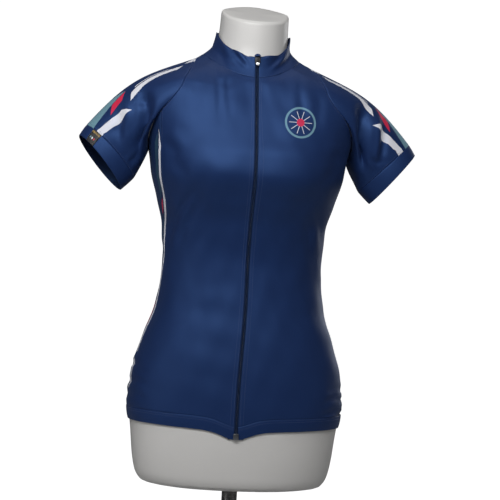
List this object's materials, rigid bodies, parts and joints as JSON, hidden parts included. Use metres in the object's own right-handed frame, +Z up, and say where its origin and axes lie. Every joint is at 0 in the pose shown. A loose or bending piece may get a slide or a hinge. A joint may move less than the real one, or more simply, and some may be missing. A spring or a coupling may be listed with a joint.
{
  "type": "cycling jersey on a limbless dress form",
  "caption": "Short-sleeved stand-collar cycling jersey with a full front zip and rear pockets, worn by a limbless dress form on a pole and round foot.",
  "frame": {"origin": "middle of the foot's underside, on the pole's axis", "axes": "+Z up along the pole, -Y the jersey's front, +X the wearer's left"},
  "size_m": [0.524, 0.3, 1.046],
  "materials": {
    "navy_knit": "smooth warp knit with a soft sheen",
    "side_knit": "smooth warp knit with a soft sheen",
    "band_knit": "doubled elastic knit",
    "zip_tape": "woven tape",
    "woven_tab": "satin weave",
    "slider_black": "satin lacquer",
    "slider_metal": "polished",
    "form_shell": "soft gloss",
    "stand_metal": "gloss black"
  },
  "bodies": {
    "jersey_on_form": {"foot": "stand_metal", "pole": "stand_metal", "form": "form_shell", "front_left": "navy_knit", "front_right": "navy_knit", "back": "navy_knit", "side_left": "side_knit", "side_right": "side_knit", "sleeve_left": "navy_knit", "sleeve_right": "navy_knit", "cuff_left": "band_knit", "cuff_right": "band_knit", "collar": "navy_knit", "hem_band": "band_knit", "pocket_panel": "navy_knit", "pocket_binding": "band_knit", "zip_left": "zip_tape", "zip_right": "zip_tape", "zip_slider": "slider_black", "zip_bridge": "slider_metal", "zip_box": "slider_metal", "cuff_tab": "woven_tab"},
    "pull_tab": {"pull_tab": "slider_black"}
  },
  "joints": [
    {"name": "pull_tab_swing", "type": "hinge", "parent": "jersey_on_form", "child": "pull_tab", "pos_m": [0.0002, -0.0696, 0.9508], "axis": [-1, 0, 0], "range_deg": [0, 150]}
  ]
}
